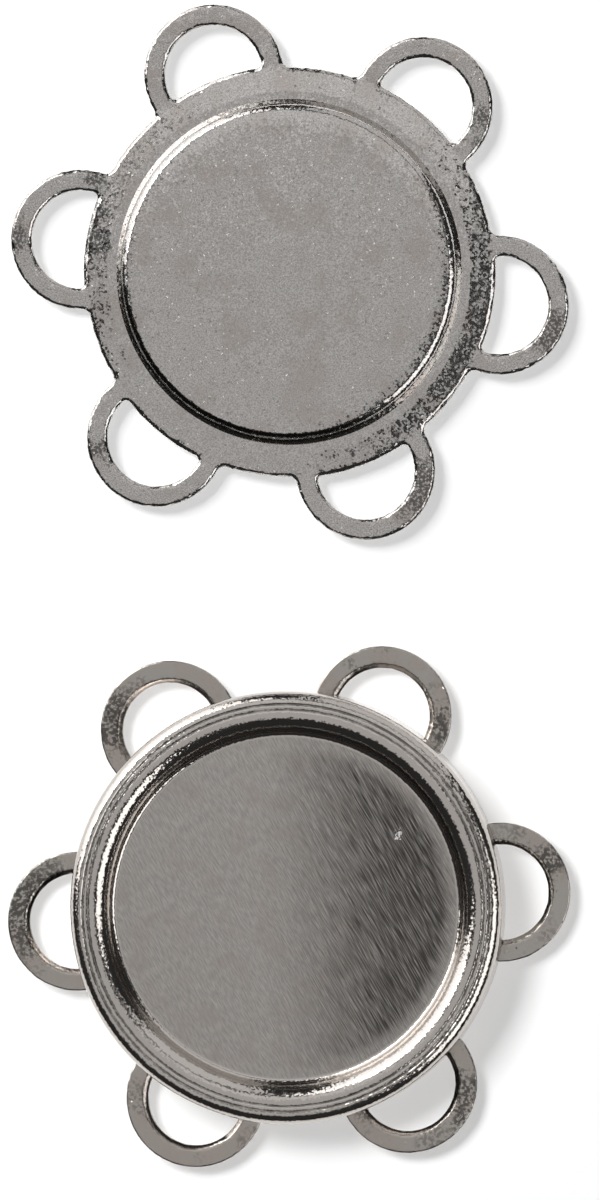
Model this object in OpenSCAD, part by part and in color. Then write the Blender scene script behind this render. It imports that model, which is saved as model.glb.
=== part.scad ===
// Sew-on magnetic snap: a socket half with a recess and a stud half with a raised disc.
// Both halves lie face up, side by side, as they do before they are sewn on.
// Millimetres, +Z up, standing on z = 0, origin at the middle of the pair's footprint.

/* [Pair] */
// Distance between the centres of the two halves
pair_pitch_w = 21.5; // [20.5:0.5:30]
// Turn of the socket half's loops about its own centre
socket_turn = 4; // [0:1:29]
// Turn of the stud half's loops about its own centre
stud_turn = -9; // [-29:1:0]

/* [Raised disc of the stud half] */
// Diameter of the raised disc at its top corner
disc_d = 11.34; // [9:0.02:12]
// Rise of the disc above the coined band
disc_rise_h = 0.66; // [0.5:0.02:0.8]
// Lean of the disc's wall from upright, in degrees
disc_lean = 15; // [10:1:30]
// Bend radius over the disc's top edge
disc_edge_r = 0.42; // [0.3:0.01:0.5]
// Bend radius at the disc's foot
disc_foot_r = 0.13; // [0.1:0.01:0.2]

/* [Brim of the stud half] */
// Thickness of the stud plate's sheet
stud_t = 0.4; // [0.3:0.05:0.5]
// Width of the smooth coined band, from the foot of the disc's wall
coined_band_w = 0.29; // [0.2:0.01:0.4]
// Width of the sloping brim outside the coined band
brim_w = 0.8; // [0.6:0.02:0.9]
// Bend radius between the coined band and the sloping brim
brim_bend_r = 0.8; // [0.5:0.05:1]
// Fall of the brim from the coined band to its edge
brim_drop_h = 0.13; // [0.05:0.01:0.2]

/* [Keeper of the stud half] */
// Gap between the keeper and the wall of the hollow that it sits in
keeper_gap_w = 0.06; // [0.03:0.01:0.15]
// Height of the keeper's back above the surface that the stud half lies on
keeper_lift_h = 0.04; // [0.02:0.01:0.15]

/* [Recess of the socket half] */
// Gap round the stud's disc at the recess floor
recess_gap_w = 0.26; // [0.2:0.01:0.4]
// Gap left between the crown and the coined band when the snap is closed
closed_gap_h = 0.04; // [0.02:0.01:0.08]
// Lean of the recess wall from upright, in degrees
recess_lean = 14; // [10:1:25]
// Bend radius at the recess floor's edge
floor_bend_r = 0.1; // [0.05:0.01:0.15]
// Bend radius between the recess wall and the crown
crown_bend_r = 0.6; // [0.4:0.05:0.65]

/* [Cap of the socket half] */
// Thickness of the cap's sheet
cap_t = 0.3; // [0.2:0.05:0.4]
// Width of the crown, from the recess wall to the skirt
crown_w = 1.21; // [1:0.01:1.4]
// Bend radius between the crown and the skirt
shoulder_bend_r = 0.38; // [0.3:0.01:0.45]
// Flare of the skirt from the crown to its foot
skirt_flare_w = 0.05; // [0.02:0.01:0.1]
// Inside bend radius where the skirt is folded under the loop plate
hem_bend_r = 0.06; // [0.02:0.01:0.1]
// Width of the folded hem
hem_w = 0.94; // [0.7:0.02:1.2]
// Gap around a loop's legs where they leave the cap
leg_gap_w = 0.06; // [0.03:0.01:0.1]
// Distance from the skirt to the outer of the two lines rolled into the crown
crown_line_w = 0.43; // [0.4:0.01:0.5]
// Spacing of the two lines
line_pitch_w = 0.18; // [0.14:0.01:0.2]
// Depth of each line
line_depth_t = 0.02; // [0.01:0.005:0.04]

/* [Inside of the socket half] */
// Thickness of the magnet under the recess floor
magnet_t = 0.93; // [0.7:0.01:1.5]
// Distance from the magnet's rim to the edge of the recess floor
magnet_inset_w = 0.16; // [0.1:0.02:0.6]
// Thickness of the socket's loop plate
socket_plate_t = 0.45; // [0.35:0.05:0.55]
// Gap between the rim of the loop plate and the skirt around it
plate_gap_w = 0.08; // [0.04:0.01:0.15]

/* [Sewing loops] */
// Loops on each half
loop_count = 6; // [4:2:6]
// Outer diameter of one loop
loop_d = 4.7; // [4.4:0.1:5]
// Distance that the loops stand out from the foot of the cap
loop_stand_w = 2.21; // [2:0.01:2.4]
// Width of a stud loop's band
stud_band_w = 0.68; // [0.5:0.02:0.9]
// Width of a socket loop's band
socket_band_w = 0.73; // [0.5:0.01:0.9]
// Radius in the outer corners where a stud loop leaves the brim
loop_root_r = 0.31; // [0.1:0.01:0.4]
// Radius in the inner corners of a stud loop's hole
hole_corner_r = 0.18; // [0.1:0.02:0.3]

/* [Hidden] */

$fn = 48;
nickel = [0.66, 0.65, 0.63];
brushed_nickel = [0.6, 0.59, 0.57];
matte_nickel = [0.63, 0.62, 0.6];
magnet_grey = [0.3, 0.3, 0.31];
keeper_steel = [0.52, 0.52, 0.53];
bend_steps = 4;
tip_steps = 14;
side_steps = 3;
smallest_bend = 0.02;
overlap = 0.05;
cut_margin = 1;
loop_step = 360 / loop_count;

// Stud half: the disc's foot, the coined band and the brim follow from the disc
disc_r = disc_d / 2;
disc_foot_corner_r = disc_r + disc_rise_h * tan(disc_lean);
band_r = disc_foot_corner_r + coined_band_w;
brim_r = band_r + brim_w;
band_z = stud_t + brim_drop_h;
disc_top_z = band_z + disc_rise_h;
hollow_r = disc_r - stud_t * tan((90 - disc_lean) / 2);

// Socket half: the recess fits the stud's disc, and the cap follows from the recess
recess_depth = disc_rise_h - closed_gap_h;
floor_r = disc_r + recess_gap_w;
crown_r = floor_r + recess_depth * tan(recess_lean);
shoulder_r = crown_r + crown_w;
cap_r = shoulder_r + skirt_flare_w;
plate_z = cap_t;
plate_top_z = plate_z + socket_plate_t;
magnet_top_z = plate_top_z + magnet_t;
floor_z = magnet_top_z + cap_t;
crown_z = floor_z + recess_depth;
skirt_slope = skirt_flare_w / crown_z;
plate_r = cap_r - skirt_slope * plate_top_z - cap_t - plate_gap_w;

// Loops: both halves have them on the same circle
loop_r = loop_d / 2;
loop_centre_r = cap_r + loop_stand_w - loop_r;
stud_hole_r = loop_r - stud_band_w;
stud_hole_side_r = brim_r + overlap;
socket_hole_r = loop_r - socket_band_w;

// Reach of a half's loops along +Y from its own centre
function loop_reach(turn) =
    loop_r + loop_centre_r * max([for (i = [0:loop_count - 1]) sin(turn + i * loop_step)]);
pair_shift = (loop_reach(socket_turn) - loop_reach(stud_turn)) / 2;
stud_y = pair_pitch_w / 2 + pair_shift;
socket_y = pair_shift - pair_pitch_w / 2;

// Unit vector from p to q
function toward(p, q) = (q - p) / norm(q - p);
// Direction turned a quarter to the left
function left_of(d) = [-d[1], d[0]];
// Vector turned by an angle
function turned(v, a) = [v[0] * cos(a) - v[1] * sin(a), v[0] * sin(a) + v[1] * cos(a)];
// Angle turned at corner b on the way a, b, c, positive to the left
function turn_at(a, b, c) =
    let (u = toward(a, b), v = toward(b, c))
    atan2(u[0] * v[1] - u[1] * v[0], u * v);
// Points of a round bend of radius r at corner b
function bend(a, b, c, r) =
    let (
        u = toward(a, b),
        w = turn_at(a, b, c),
        setback = r * tan(abs(w) / 2),
        spoke = -sign(w) * r * left_of(u),
        centre = b - setback * u - spoke
    )
    [for (i = [0:bend_steps]) centre + turned(spoke, w * i / bend_steps)];
// Path with every inner corner bent to its radius
function bent_path(path, radii) = [
    path[0],
    for (i = [1:len(path) - 2]) each bend(path[i - 1], path[i], path[i + 1], radii[i - 1]),
    path[len(path) - 1]
];
// Corners of the sheet's other side, one thickness to the right of the path
function other_side(path, t) = [
    path[0] - t * left_of(toward(path[0], path[1])),
    for (i = [1:len(path) - 2])
        let (
            m = left_of(toward(path[i - 1], path[i])),
            n = left_of(toward(path[i], path[i + 1]))
        )
        path[i] - t * (m + n) / (1 + m * n),
    path[len(path) - 1] - t * left_of(toward(path[len(path) - 2], path[len(path) - 1]))
];
// Bend radii of the sheet's other side: larger round a left turn, smaller round a right turn
function other_radii(path, radii, t) = [
    for (i = [1:len(path) - 2])
        let (w = turn_at(path[i - 1], path[i], path[i + 1]))
        max(radii[i - 1] + sign(w) * t, smallest_bend)
];
function backward(points) = [for (i = [len(points) - 1:-1:0]) points[i]];
// Points of an arc about c from angle a to angle b
function arc(c, r, a, b, steps) =
    [for (i = [0:steps]) c + r * [cos(a + (b - a) * i / steps), sin(a + (b - a) * i / steps)]];
function direction(v) = atan2(v[1], v[0]);
// Centre of the corner circle that lies p from the middle of the half and q from the loop's centre
function corner_centre(p, q) =
    let (x = (p * p - q * q + loop_centre_r * loop_centre_r) / (2 * loop_centre_r))
    [x, sqrt(p * p - x * x)];

// Round part formed from sheet: the path is its outer face in section, from the axis outwards
module formed_sheet(path, radii, t) {
    rotate_extrude()
        polygon(concat(
            bent_path(path, radii),
            backward(bent_path(other_side(path, t), other_radii(path, radii, t)))
        ));
}

// Children repeated at each loop's centre, with +X pointing away from the middle
module at_loops(turn) {
    for (i = [0:loop_count - 1])
        rotate(turn + i * loop_step)
            translate([loop_centre_r, 0, 0])
                children();
}

// Outline of one stud loop with its filleted roots, along +X from the middle of the half
module stud_loop_outline() {
    c = [loop_centre_r, 0];
    root = corner_centre(brim_r + loop_root_r, loop_r + loop_root_r);
    brim_a = direction(root);
    loop_a = direction(root - c);
    inner_r = brim_r - overlap;
    half = concat(
        arc([0, 0], inner_r, 0, brim_a, side_steps),
        arc(root, loop_root_r, brim_a + 180, loop_a - 180 + 360, bend_steps),
        arc(c, loop_r, loop_a, 0, tip_steps)
    );
    polygon(concat(half, backward([for (p = half) [p[0], -p[1]]])));
}

// Hole of one stud loop: an arc towards the brim, two round corners and a round outer end
module stud_loop_hole() {
    c = [loop_centre_r, 0];
    corner = corner_centre(stud_hole_side_r + hole_corner_r, stud_hole_r - hole_corner_r);
    side_a = direction(corner);
    tip_a = direction(corner - c);
    half = concat(
        arc([0, 0], stud_hole_side_r, 0, side_a, side_steps),
        arc(corner, hole_corner_r, side_a + 180, tip_a, bend_steps),
        arc(c, stud_hole_r, tip_a, 0, tip_steps)
    );
    polygon(concat(half, backward([for (p = half) [p[0], -p[1]]])));
}

// Drawn cap: recess floor, wall, crown, skirt and the hem folded under the loop plate
module socket_cap() {
    path = [
        [0, floor_z],
        [floor_r, floor_z],
        [crown_r, crown_z],
        [shoulder_r, crown_z],
        [cap_r, 0],
        [cap_r - hem_w, 0]
    ];
    radii = [floor_bend_r, crown_bend_r, shoulder_bend_r, cap_t + hem_bend_r];
    color(brushed_nickel)
        translate([0, socket_y, 0])
            difference() {
                formed_sheet(path, radii, cap_t);
                crown_lines();
                at_loops(socket_turn)
                    leg_notches();
            }
}

// Two fine round lines rolled into the crown
module crown_lines() {
    half_w = line_pitch_w / 3;
    for (line_r = [shoulder_r - crown_line_w, shoulder_r - crown_line_w - line_pitch_w])
        rotate_extrude()
            translate([line_r, crown_z])
                polygon([[-half_w, line_depth_t], [-half_w, 0], [0, -line_depth_t], [half_w, 0], [half_w, line_depth_t]]);
}

// Open-bottomed cuts that let a loop's two legs out of the cap
module leg_notches() {
    top = plate_top_z + leg_gap_w;
    difference() {
        translate([0, 0, -cut_margin])
            cylinder(r = loop_r + leg_gap_w, h = top + cut_margin);
        translate([0, 0, -2 * cut_margin])
            cylinder(r = socket_hole_r - leg_gap_w, h = top + 3 * cut_margin);
    }
}

// Disc magnet between the recess floor and the loop plate
module socket_magnet() {
    color(magnet_grey)
        translate([0, socket_y, plate_top_z])
            cylinder(r = floor_r - magnet_inset_w, h = magnet_t);
}

// Flat plate with round loops that closes the back of the socket half
module socket_loop_plate() {
    color(nickel)
        translate([0, socket_y, plate_z])
            union() {
                cylinder(r = plate_r, h = socket_plate_t);
                at_loops(socket_turn)
                    difference() {
                        cylinder(r = loop_r, h = socket_plate_t);
                        translate([0, 0, -cut_margin])
                            cylinder(r = socket_hole_r, h = socket_plate_t + 2 * cut_margin);
                    }
            }
}

// One stamped sheet: raised disc, coined band, sloping brim and loops
module stud_plate() {
    path = [
        [0, disc_top_z],
        [disc_r, disc_top_z],
        [disc_foot_corner_r, band_z],
        [band_r, band_z],
        [brim_r, stud_t]
    ];
    radii = [disc_edge_r, disc_foot_r, brim_bend_r];
    color(matte_nickel)
        translate([0, stud_y, 0])
            union() {
                formed_sheet(path, radii, stud_t);
                for (i = [0:loop_count - 1])
                    rotate(stud_turn + i * loop_step)
                        linear_extrude(stud_t)
                            difference() {
                                stud_loop_outline();
                                stud_loop_hole();
                            }
            }
}

// Steel disc bonded into the hollow behind the raised disc
module stud_keeper() {
    color(keeper_steel)
        translate([0, stud_y, keeper_lift_h])
            cylinder(r = hollow_r - keeper_gap_w, h = disc_top_z - stud_t - keeper_lift_h);
}

socket_cap();
socket_magnet();
socket_loop_plate();
stud_plate();
stud_keeper();
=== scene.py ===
"""Looks of a sew-on magnetic snap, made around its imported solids.

The shape code counts in millimetres from the middle of one half, with +X along a loop and +Z up.
round_piece() turns and places a shape in the shared frame, in metres.
"""
import math
from collections import namedtuple
from functools import partial, reduce
from itertools import pairwise
from types import SimpleNamespace

import bmesh
import bpy
import numpy as np
from bpy.props import FloatProperty, FloatVectorProperty, IntProperty, PointerProperty
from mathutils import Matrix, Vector, geometry, noise


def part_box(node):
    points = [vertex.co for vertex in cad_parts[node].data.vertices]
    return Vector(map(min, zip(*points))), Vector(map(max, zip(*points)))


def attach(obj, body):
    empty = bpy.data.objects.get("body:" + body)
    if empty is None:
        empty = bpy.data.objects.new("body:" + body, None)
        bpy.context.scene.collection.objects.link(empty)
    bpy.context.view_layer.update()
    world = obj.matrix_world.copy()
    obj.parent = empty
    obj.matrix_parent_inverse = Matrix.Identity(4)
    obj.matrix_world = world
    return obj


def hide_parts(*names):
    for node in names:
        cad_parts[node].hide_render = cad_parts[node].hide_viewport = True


bl_info = {
    "name": "Sew-on magnetic snap",
    "version": (1, 0, 0),
    "blender": (4, 5, 0),
    "location": "3D View > Sidebar > Snap",
    "description": "Makes both halves of a sew-on magnetic snap, their finishes and the studio",
    "category": "Object",
}

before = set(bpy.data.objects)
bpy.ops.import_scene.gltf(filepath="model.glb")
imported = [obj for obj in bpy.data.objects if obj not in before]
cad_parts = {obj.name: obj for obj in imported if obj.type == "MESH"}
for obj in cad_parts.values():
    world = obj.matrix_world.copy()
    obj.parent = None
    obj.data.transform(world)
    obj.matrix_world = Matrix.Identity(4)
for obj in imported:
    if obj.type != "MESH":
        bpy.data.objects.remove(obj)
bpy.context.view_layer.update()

MM = 0.001
TINY = 1e-6

# Steps of the curved lines of one loop's sector
BEND_STEPS = 9
LOOP_STEPS = 46
ROOT_STEPS = 8
RIM_STEPS = 12
HOLE_STEPS = 30
SIDE_STEPS = 10
ROUND_HOLE_STEPS = 84
EDGE_STEPS = 5
SECTOR_COLUMNS = 40
HALF_HOLE_COLUMNS = 8
LEG_COLUMNS = 5
REST_COLUMNS = 7

# Longest steps along a section, and spacing of the filled faces, in millimetres
VISIBLE_STEP = 0.35
HIDDEN_STEP = 0.5
FLAT_STEP = 0.6
SKIRT_STEP = 0.3
TOP_SPACING = 0.13
BACK_SPACING = 0.26

# Edges
WELD = 0.002
LOW_EDGE_R = 0.03
SHARP_EDGE = math.radians(38)
ROLL_OVER = math.radians(50)
BURR_MARGIN = 0.1
BURR_SEED = 6
Burr = namedtuple("Burr", "height width inner_r outer_r lowest")

# Patterns: directions, and places in millimetres from the middle of a half. A stain has a radius as well
BRUSH_RUN = math.radians(-60)
BRUSH_ALONG = (math.cos(BRUSH_RUN), math.sin(BRUSH_RUN), 0)
BRUSH_ACROSS = (-math.sin(BRUSH_RUN), math.cos(BRUSH_RUN), 0)
# Painted shade and stronger brushing: the side of the cap's recess floor that is painted darker
SHADE_AND_BRUSH_SIDE = (math.cos(math.radians(2)), math.sin(math.radians(2)), 0)
# Painted shade: side and radius of the dark corner at the stud disc's foot
PAINTED_FOOT_SHADE_SIDE = (-0.5, -0.87, 0)
PAINTED_FOOT_SHADE_R = 5.62
NICK = (3.78, 2.47, 0)
NICK_COLOUR = (0.95, 0.94, 0.92)
STUD_STAINS = ((-9.3, 1.4, 1.0), (-6.35, 3.2, 0.6), (-6.5, 2.2, 0.7), (-6.6, 1.2, 0.6), (9.0, -2.2, 1.4),
               (6.6, 5.0, 1.0), (4.5, -7.4, 1.4), (-6.4, -6.1, 0.7))
SOCKET_STAINS = ((-9.0, 0.0, 2.7), (-5.7, 6.1, 1.6), (4.9, 6.3, 1.0), (6.1, -6.4, 1.4), (9.0, 1.5, 0.9))
FLATTEN = (1, 1, 0)
HALVES = (0.5, 0.5, 0.5)

# Lamps: azimuth, zenith, height and width as the pair sees them, all in degrees, then radiance and distance
SHEEN_LAMPS = {
    "overhead_box": (161, 6.5, 39, 60, 0.54, 0.6),
    "bright_box": (95, 22, 22, 70, 0.2, 0.5),
    "key_box": (140, 48, 22, 34, 3.0, 0.6),
    "key_spill": (140, 63, 56, 60, 1.7, 0.7),
    "side_box": (337, 43, 32, 42, 1.9, 0.6),
    "fill_box": (62, 62, 48, 44, 0.7, 0.6),
}
TABLE_LAMPS = {
    "table_low": (140, 58, 24, 24, 18.0, 0.6),
    "table_high": (140, 32, 18, 20, 19.0, 0.6),
    "table_soft": (161, 0, 70, 80, 0.1, 0.6),
}
SHADOWS_OF = {"table_low": "stud_half", "table_high": "socket_half"}
TABLE_RADIUS = 3
TABLE_SIDES = 96
SENSOR = 36


def length(name, description, mm):
    """A property for a length, with its default given in millimetres."""
    return FloatProperty(name=name, description=description, default=mm * MM, precision=6,
                         subtype="DISTANCE", unit="LENGTH")


def angle(name, description, degrees):
    """A property for an angle, with its default given in degrees."""
    return FloatProperty(name=name, description=description, default=math.radians(degrees),
                         subtype="ANGLE", unit="ROTATION")


def share(name, description, value):
    """A property for a plain number from 0 to 1."""
    return FloatProperty(name=name, description=description, default=value, min=0, max=1, subtype="FACTOR")


def colour(name, description, rgb):
    """A property for a linear colour."""
    return FloatVectorProperty(name=name, description=description, default=rgb, size=3, min=0, max=1,
                               subtype="COLOR")


class SNAP_PG_loops(bpy.types.PropertyGroup):
    """Sizes of the sewing loops, which are the same on both halves."""

    count: IntProperty(name="Loops", description="Loops on each half", default=6, min=4, max=8)
    outer_d: length("Loop diameter", "Outer diameter of one loop", 4.7)
    centre_r: length("Loop circle", "Distance of a loop's centre from the middle of its half", 7.2)
    stud_band: length("Stud loop band", "Width of a stud loop's band", 0.68)
    socket_band: length("Socket loop band", "Width of a socket loop's band", 0.73)
    stud_turn: angle("Stud turn", "Turn of the stud half's loops", -9)
    socket_turn: angle("Socket turn", "Turn of the socket half's loops", 4)


class SNAP_PG_stud(bpy.types.PropertyGroup):
    """Sizes of the stamped stud plate and the keeper behind its disc."""

    disc_d: length("Disc diameter", "Diameter of the raised disc at its top corner", 11.213)
    disc_rise: length("Disc rise", "Rise of the disc above the coined band", 0.66)
    disc_lean: angle("Disc lean", "Lean of the disc's wall from upright", 20)
    edge_r: length("Disc edge", "Bend radius over the disc's top edge", 0.35)
    foot_r: length("Disc foot", "Bend radius at the disc's foot", 0.03)
    roll_w: length("Roll width", "Width of the border that falls away inside the disc's top corner", 0.53)
    roll_lean: angle("Roll lean", "Slope of that border", 8)
    roll_r: length("Roll bend", "Bend radius from the flat of the disc to that border", 2.8)
    crown: length("Disc crown", "Fall of the disc from its middle to that border", 0.06)
    brim_bend_r: length("Brim bend", "Bend radius between the coined band and the brim", 0.8)
    sheet_t: length("Stud sheet", "Thickness of the stud plate's sheet", 0.4)
    coined_w: length("Coined band", "Width of the smooth band round the disc's foot", 0.29)
    brim_w: length("Brim", "Width of the sloping brim", 0.8)
    brim_drop: length("Brim drop", "Fall of the brim from the coined band to its edge", 0.13)
    root_r: length("Loop root", "Radius in the corners where a loop leaves the brim", 0.31)
    corner_r: length("Hole corner", "Radius in the inner corners of a loop's hole", 0.18)
    hole_lap: length("Hole set-off", "Distance of a loop's hole from the brim's edge", 0.05)
    punched_r: length("Punched edge", "Rounding of the punched edges on the upper side", 0.17)
    keeper_chamfer: length("Keeper chamfer", "Width of the chamfer round the keeper", 0.08)


class SNAP_PG_cap(bpy.types.PropertyGroup):
    """Sizes of the drawn cap and of the loop plate that it is folded round."""

    floor_r: length("Recess floor", "Radius of the recess floor at its corner", 5.93)
    recess_h: length("Recess depth", "Depth of the recess under the crown", 0.62)
    recess_lean: angle("Recess lean", "Lean of the recess wall from upright", 14)
    crown_w: length("Crown width", "Width of the crown, from the recess wall to the skirt", 1.21)
    flare_w: length("Skirt flare", "Flare of the skirt from the crown to its foot", 0.05)
    sheet_t: length("Cap sheet", "Thickness of the cap's sheet", 0.3)
    plate_t: length("Loop plate", "Thickness of the loop plate", 0.45)
    floor_bend_r: length("Floor bend", "Bend radius at the recess floor's edge", 0.2)
    crown_bend_r: length("Crown bend", "Bend radius between the recess wall and the crown", 0.6)
    shoulder_r: length("Shoulder bend", "Bend radius between the crown and the skirt", 0.38)
    hem_bend_r: length("Hem bend", "Inside bend radius where the skirt is folded", 0.06)
    hem_w: length("Hem", "Width of the folded hem", 0.94)
    leg_gap: length("Leg gap", "Gap around a loop's legs where they leave the cap", 0.06)
    plate_gap: length("Plate gap", "Gap between the loop plate and the skirt", 0.08)
    line_in: length("Crown line", "Distance from the skirt to the outer rolled line", 0.43)
    line_pitch: length("Line pitch", "Spacing of the two rolled lines", 0.18)
    line_depth: length("Line depth", "Depth of each rolled line", 0.018)
    dome_h: length("Floor dome", "Rise of the recess floor's middle over its edge", 0.12)
    hole_edge_r: length("Hole edge", "Rounding of the loop holes on the upper side", 0.32)
    rim_edge_r: length("Loop edge", "Rounding of the loops' outer edges", 0.08)


class SNAP_PG_finish(bpy.types.PropertyGroup):
    """Colours and gloss of the metals."""

    stud_nickel: colour("Stud nickel", "Fine-grained nickel plating of the stud plate", (0.655, 0.632, 0.612))
    cap_nickel: colour("Cap nickel", "Brushed and polished nickel plating of the cap", (0.58, 0.54, 0.505))
    loop_nickel: colour("Loop nickel", "Satin nickel plating of the loop plate", (0.47, 0.44, 0.405))
    dull_nickel: colour("Dull nickel", "Duller grain between the bright one", (0.45, 0.428, 0.408))
    tarnish: colour("Tarnish", "Faint warm film on the plating", (0.47, 0.41, 0.375))
    # Also the colour of the painted shade at the stud disc's foot and on the +X side of the cap's recess
    # floor
    wear_and_shade: colour("Worn nickel", "Darker metal where the plating is worn or stained", (0.07, 0.066, 0.06))
    keeper_steel: colour("Keeper steel", "Plain turned steel", (0.50, 0.50, 0.51))
    magnet_grey: colour("Magnet", "Sintered magnet", (0.12, 0.12, 0.125))
    floor_white: colour("Floor", "Matt white table", (0.9, 0.9, 0.9))


class SNAP_PG_studio(bpy.types.PropertyGroup):
    """Camera and light."""

    camera_distance: FloatProperty(name="Camera distance", description="Distance of the camera from the pair",
                                   default=0.4, subtype="DISTANCE", unit="LENGTH")
    camera_tilt: angle("Camera tilt", "Lean of the camera towards +X", 3.5)
    view_height: length("View height", "Height of the picture at the pair", 40.7)
    view_x: length("View centre X", "Middle of the picture along X", 0.34)
    view_y: length("View centre Y", "Middle of the picture along Y", -0.49)
    room: share("Room light", "Level of the dim room around the table", 0.03)
    glow: share("Table glow", "Share of white that the table has of itself where it is seen", 0.03)


def in_mm(group):
    """The group's lengths in millimetres, and its other values as they are."""
    values = SimpleNamespace()
    for prop in group.bl_rna.properties:
        if prop.identifier in ("rna_type", "name"):
            continue
        value = getattr(group, prop.identifier)
        is_length = prop.type == "FLOAT" and prop.unit == "LENGTH"
        setattr(values, prop.identifier, value / MM if is_length else value)
    return values


def flat_centre(node):
    """Middle of a CAD node in plan, at z = 0."""
    low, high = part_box(node)
    middle = (low + high) / 2
    return Vector((middle.x, middle.y, 0))


# Plane curves

def point(x, y):
    return np.array((x, y), float)


def on_circle(centre, radius, a):
    """Point of a circle at an angle in radians."""
    return centre + radius * point(math.cos(a), math.sin(a))


def arc(centre, radius, start, end, steps):
    """Points of an arc, ends included."""
    return [on_circle(centre, radius, start + (end - start) * i / steps) for i in range(steps + 1)]


def toward(p, q):
    return (q - p) / np.linalg.norm(q - p)


def left_of(d):
    return point(-d[1], d[0])


def turned(v, a):
    return point(v[0] * math.cos(a) - v[1] * math.sin(a), v[0] * math.sin(a) + v[1] * math.cos(a))


def direction(v):
    return math.atan2(v[1], v[0])


def turn_at(a, b, c):
    """Turn at corner b on the way from a to c, positive to the left."""
    u, v = toward(a, b), toward(b, c)
    return math.atan2(u[0] * v[1] - u[1] * v[0], u @ v)


def bend(a, b, c, radius):
    """Points of a round bend at corner b."""
    u = toward(a, b)
    w = turn_at(a, b, c)
    spoke = -math.copysign(radius, w) * left_of(u)
    centre = b - radius * math.tan(abs(w) / 2) * u - spoke
    return [centre + turned(spoke, w * i / BEND_STEPS) for i in range(BEND_STEPS + 1)]


def bent_path(corners, radii):
    """The path through the corners, with every inner corner bent to its radius."""
    points = [corners[0]]
    for i, radius in enumerate(radii, start=1):
        points += bend(corners[i - 1], corners[i], corners[i + 1], radius)
    return points + [corners[-1]]


def sheet_sides(corners, radii, thickness, sharpest=0.02):
    """Both sides of a bent sheet in section: the given side, and the one to the right of it."""
    sides = [left_of(toward(p, q)) for p, q in pairwise(corners)]
    inner = [corners[0] - thickness * sides[0]]
    for i in range(1, len(corners) - 1):
        m, n = sides[i - 1], sides[i]
        inner.append(corners[i] - thickness * (m + n) / (1 + m @ n))
    inner.append(corners[-1] - thickness * sides[-1])
    inner_radii = []
    for i, radius in enumerate(radii, start=1):
        w = turn_at(corners[i - 1], corners[i], corners[i + 1])
        inner_radii.append(max(radius + math.copysign(thickness, w), sharpest))
    return bent_path(corners, radii), bent_path(inner, inner_radii)


def spaced(points, longest):
    """The same line with points added so that no step is longer than given."""
    line = [points[0]]
    for p, q in pairwise(points):
        steps = max(1, math.ceil(np.linalg.norm(q - p) / longest))
        line += [p + (q - p) * i / steps for i in range(1, steps + 1)]
    return line


def mirrored_about_x(half):
    """A line symmetric about the X axis, from the half that starts on it, run the other way round."""
    return [point(p[0], -p[1]) for p in reversed(half)] + half[1:]


def corner_centre(from_middle, from_loop, loop_centre):
    """Centre of a corner circle, given its distances from the half's middle and the loop's centre."""
    x = (from_middle**2 - from_loop**2 + loop_centre**2) / (2 * loop_centre)
    return point(x, math.sqrt(from_middle**2 - x**2))


def loop_outline(rim_r, root_r, loop_r, loop_centre, half_sector, inset):
    """Outer edge of one loop and the rim beside it, counter-clockwise, drawn in by an inset."""
    root = corner_centre(rim_r + root_r, loop_r + root_r, loop_centre)
    tip = point(loop_centre, 0)
    loop_a, rim_a = direction(root - tip), direction(root)
    half = arc(tip, loop_r - inset, 0, loop_a, LOOP_STEPS)
    half += arc(root, root_r + inset, loop_a + math.pi, rim_a + math.pi, ROOT_STEPS)[1:]
    half += arc(point(0, 0), rim_r - inset, rim_a, half_sector, RIM_STEPS)[1:]
    return mirrored_about_x(half)


def d_hole(side_r, hole_r, corner_r, loop_centre, outset):
    """Edge of a D-shaped hole, clockwise, drawn out by an outset."""
    corner = corner_centre(side_r + corner_r, hole_r - corner_r, loop_centre)
    tip = point(loop_centre, 0)
    tip_a, side_a = direction(corner - tip), direction(corner)
    half = arc(tip, hole_r + outset, 0, tip_a, HOLE_STEPS)
    half += arc(corner, corner_r + outset, tip_a, side_a + math.pi, ROOT_STEPS)[1:]
    half += arc(point(0, 0), side_r - outset, side_a, 0, SIDE_STEPS)[1:]
    return mirrored_about_x(half)[:-1][::-1]


def round_hole(hole_r, loop_centre, outset):
    """Edge of a round hole, clockwise, drawn out by an outset."""
    return arc(point(loop_centre, 0), hole_r + outset, 0, -math.tau, ROUND_HOLE_STEPS)[:-1]


def inside(polygon, points):
    """Which of the points lie inside a closed polygon."""
    poly = np.array(polygon)
    x, y = points[:, :1], points[:, 1:2]
    x0, y0 = poly[:, 0], poly[:, 1]
    x1, y1 = np.roll(x0, -1), np.roll(y0, -1)
    spans = (y0 > y) != (y1 > y)
    rise = np.where(np.abs(y1 - y0) < TINY, TINY, y1 - y0)
    left = x < (x1 - x0) * (y - y0) / rise + x0
    return (spans & left).sum(1) % 2 == 1


# Shapes in millimetres

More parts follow.
